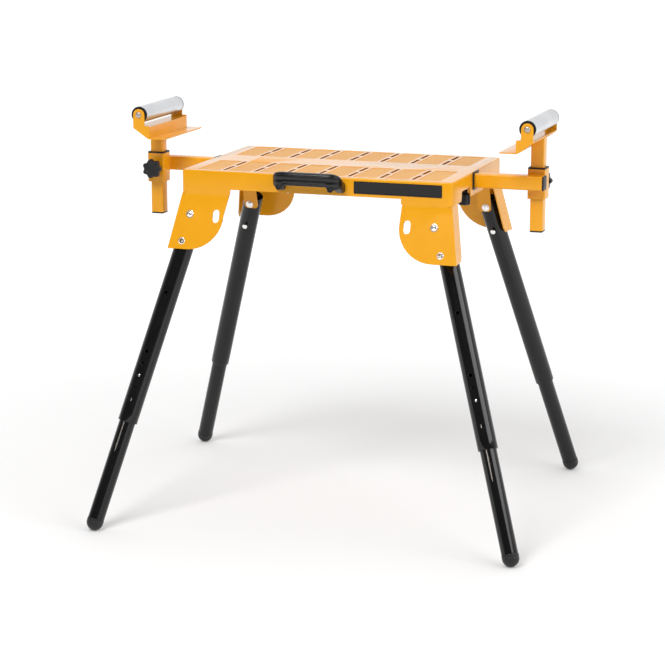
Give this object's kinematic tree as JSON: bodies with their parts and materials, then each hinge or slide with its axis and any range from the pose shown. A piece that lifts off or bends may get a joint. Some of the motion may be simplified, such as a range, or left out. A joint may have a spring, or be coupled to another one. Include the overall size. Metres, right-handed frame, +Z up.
{
  "type": "miter saw stand",
  "caption": "Folding miter saw stand with a slotted sheet table, telescopic splayed legs, a carry handle and sliding roller supports at each end.",
  "frame": {"origin": "floor level below the middle of the table", "axes": "+X along the table towards the right roller, +Z up, the handle side faces -Y"},
  "size_m": [0.9852, 0.8242, 0.8804],
  "materials": {
    "orange_paint": "glossy orange powder coat",
    "black_paint": "glossy black powder coat",
    "black_plastic": "moulded black plastic",
    "black_rubber": "moulded black rubber",
    "zinc_steel": "zinc plated",
    "roller_aluminium": "satin drawn tube"
  },
  "bodies": {
    "stand": {"table_top": "orange_paint", "carry_handle": "black_plastic", "blank_plate": "black_plastic", "leg_bracket_front_left": "orange_paint", "pivot_bolt_front_left": "zinc_steel", "leg_bracket_front_right": "orange_paint", "pivot_bolt_front_right": "zinc_steel", "leg_bracket_rear_right": "orange_paint", "pivot_bolt_rear_right": "zinc_steel", "leg_bracket_rear_left": "orange_paint", "pivot_bolt_rear_left": "zinc_steel", "arm_guide_right": "orange_paint", "guide_bush_right": "black_plastic", "arm_guide_left": "orange_paint", "guide_bush_left": "black_plastic"},
    "upper_leg_front_left": {"upper_leg_front_left": "black_paint"},
    "lower_leg_front_left": {"lower_leg_front_left": "black_paint", "foot_front_left": "black_rubber"},
    "snap_button_front_left": {"snap_button_front_left": "zinc_steel"},
    "lock_pin_front_left": {"lock_pin_front_left": "zinc_steel"},
    "upper_leg_front_right": {"upper_leg_front_right": "black_paint"},
    "lower_leg_front_right": {"lower_leg_front_right": "black_paint", "foot_front_right": "black_rubber"},
    "snap_button_front_right": {"snap_button_front_right": "zinc_steel"},
    "lock_pin_front_right": {"lock_pin_front_right": "zinc_steel"},
    "upper_leg_rear_right": {"upper_leg_rear_right": "black_paint"},
    "lower_leg_rear_right": {"lower_leg_rear_right": "black_paint", "foot_rear_right": "black_rubber"},
    "snap_button_rear_right": {"snap_button_rear_right": "zinc_steel"},
    "lock_pin_rear_right": {"lock_pin_rear_right": "zinc_steel"},
    "upper_leg_rear_left": {"upper_leg_rear_left": "black_paint"},
    "lower_leg_rear_left": {"lower_leg_rear_left": "black_paint", "foot_rear_left": "black_rubber"},
    "snap_button_rear_left": {"snap_button_rear_left": "zinc_steel"},
    "lock_pin_rear_left": {"lock_pin_rear_left": "zinc_steel"},
    "arm_right": {"extension_arm_right": "orange_paint", "arm_plug_right": "black_plastic", "post_bush_right": "black_plastic"},
    "post_right": {"support_post_right": "orange_paint", "post_plug_right": "black_plastic", "roller_head_right": "orange_paint", "roller_axle_right": "zinc_steel"},
    "roller_right": {"roller_right": "roller_aluminium", "roller_cap_near_right": "black_plastic", "roller_cap_far_right": "black_plastic"},
    "post_knob_right": {"post_knob_right": "black_plastic"},
    "arm_knob_right": {"arm_knob_right": "black_plastic"},
    "arm_left": {"extension_arm_left": "orange_paint", "arm_plug_left": "black_plastic", "post_bush_left": "black_plastic"},
    "post_left": {"support_post_left": "orange_paint", "post_plug_left": "black_plastic", "roller_head_left": "orange_paint", "roller_axle_left": "zinc_steel"},
    "roller_left": {"roller_left": "roller_aluminium", "roller_cap_near_left": "black_plastic", "roller_cap_far_left": "black_plastic"},
    "post_knob_left": {"post_knob_left": "black_plastic"},
    "arm_knob_left": {"arm_knob_left": "black_plastic"}
  },
  "joints": [
    {"name": "leg_fold_front_left", "type": "hinge", "parent": "stand", "child": "upper_leg_front_left", "pos_m": [-0.277, -0.18593, 0.65881], "axis": [0, -0.9511, 0.309], "range_deg": [0, 92.4]},
    {"name": "leg_height_front_left", "type": "slide", "parent": "upper_leg_front_left", "child": "lower_leg_front_left", "axis": [-0.2232, -0.3012, -0.9271], "range_m": [-0.054, 0.054]},
    {"name": "snap_button_front_left", "type": "slide", "parent": "lower_leg_front_left", "child": "snap_button_front_left", "axis": [0, -0.9511, 0.309], "range_m": [0, 0.0048]},
    {"name": "lock_pin_front_left", "type": "slide", "parent": "upper_leg_front_left", "child": "lock_pin_front_left", "axis": [0, -0.9511, 0.309], "range_m": [0, 0.0048]},
    {"name": "leg_fold_front_right", "type": "hinge", "parent": "stand", "child": "upper_leg_front_right", "pos_m": [0.266, -0.14266, 0.64475], "axis": [0, 0.9511, -0.309], "range_deg": [0, 97.07]},
    {"name": "leg_height_front_right", "type": "slide", "parent": "upper_leg_front_right", "child": "lower_leg_front_right", "axis": [0.3018, -0.2946, -0.9067], "range_m": [-0.054, 0.054]},
    {"name": "snap_button_front_right", "type": "slide", "parent": "lower_leg_front_right", "child": "snap_button_front_right", "axis": [0, -0.9511, 0.309], "range_m": [0, 0.0048]},
    {"name": "lock_pin_front_right", "type": "slide", "parent": "upper_leg_front_right", "child": "lock_pin_front_right", "axis": [0, -0.9511, 0.309], "range_m": [0, 0.0048]},
    {"name": "leg_fold_rear_right", "type": "hinge", "parent": "stand", "child": "upper_leg_rear_right", "pos_m": [0.277, 0.18593, 0.65881], "axis": [0, 0.9511, 0.309], "range_deg": [0, 92.4]},
    {"name": "leg_height_rear_right", "type": "slide", "parent": "upper_leg_rear_right", "child": "lower_leg_rear_right", "axis": [0.2232, 0.3012, -0.9271], "range_m": [-0.054, 0.054]},
    {"name": "snap_button_rear_right", "type": "slide", "parent": "lower_leg_rear_right", "child": "snap_button_rear_right", "axis": [0, 0.9511, 0.309], "range_m": [0, 0.0048]},
    {"name": "lock_pin_rear_right", "type": "slide", "parent": "upper_leg_rear_right", "child": "lock_pin_rear_right", "axis": [0, 0.9511, 0.309], "range_m": [0, 0.0048]},
    {"name": "leg_fold_rear_left", "type": "hinge", "parent": "stand", "child": "upper_leg_rear_left", "pos_m": [-0.266, 0.14266, 0.64475], "axis": [0, -0.9511, -0.309], "range_deg": [0, 97.07]},
    {"name": "leg_height_rear_left", "type": "slide", "parent": "upper_leg_rear_left", "child": "lower_leg_rear_left", "axis": [-0.3018, 0.2946, -0.9067], "range_m": [-0.054, 0.054]},
    {"name": "snap_button_rear_left", "type": "slide", "parent": "lower_leg_rear_left", "child": "snap_button_rear_left", "axis": [0, 0.9511, 0.309], "range_m": [0, 0.0048]},
    {"name": "lock_pin_rear_left", "type": "slide", "parent": "upper_leg_rear_left", "child": "lock_pin_rear_left", "axis": [0, 0.9511, 0.309], "range_m": [0, 0.0048]},
    {"name": "arm_slide_right", "type": "slide", "parent": "stand", "child": "arm_right", "axis": [1, 0, 0], "range_m": [-0.1, 0.2]},
    {"name": "post_height_right", "type": "slide", "parent": "arm_right", "child": "post_right", "axis": [0, 0, 1], "range_m": [-0.035, 0.06]},
    {"name": "roller_spin_right", "type": "hinge", "parent": "post_right", "child": "roller_right", "pos_m": [0.43, 0.0162, 0.8624], "axis": [0, 1, 0], "continuous": true},
    {"name": "post_knob_turn_right", "type": "hinge", "parent": "arm_right", "child": "post_knob_right", "pos_m": [0.43, 0.0402, 0.735], "axis": [0, 1, 0], "continuous": true},
    {"name": "arm_knob_turn_right", "type": "hinge", "parent": "stand", "child": "arm_knob_right", "pos_m": [0.276, -0.0173, 0.7187], "axis": [0, 0, -1], "continuous": true},
    {"name": "arm_slide_left", "type": "slide", "parent": "stand", "child": "arm_left", "axis": [-1, 0, 0], "range_m": [-0.1, 0.2]},
    {"name": "post_height_left", "type": "slide", "parent": "arm_left", "child": "post_left", "axis": [0, 0, 1], "range_m": [-0.035, 0.06]},
    {"name": "roller_spin_left", "type": "hinge", "parent": "post_left", "child": "roller_left", "pos_m": [-0.43, -0.0162, 0.8624], "axis": [0, -1, 0], "continuous": true},
    {"name": "post_knob_turn_left", "type": "hinge", "parent": "arm_left", "child": "post_knob_left", "pos_m": [-0.43, -0.0402, 0.735], "axis": [0, -1, 0], "continuous": true},
    {"name": "arm_knob_turn_left", "type": "hinge", "parent": "stand", "child": "arm_knob_left", "pos_m": [-0.276, 0.0173, 0.7187], "axis": [0, 0, -1], "continuous": true}
  ]
}
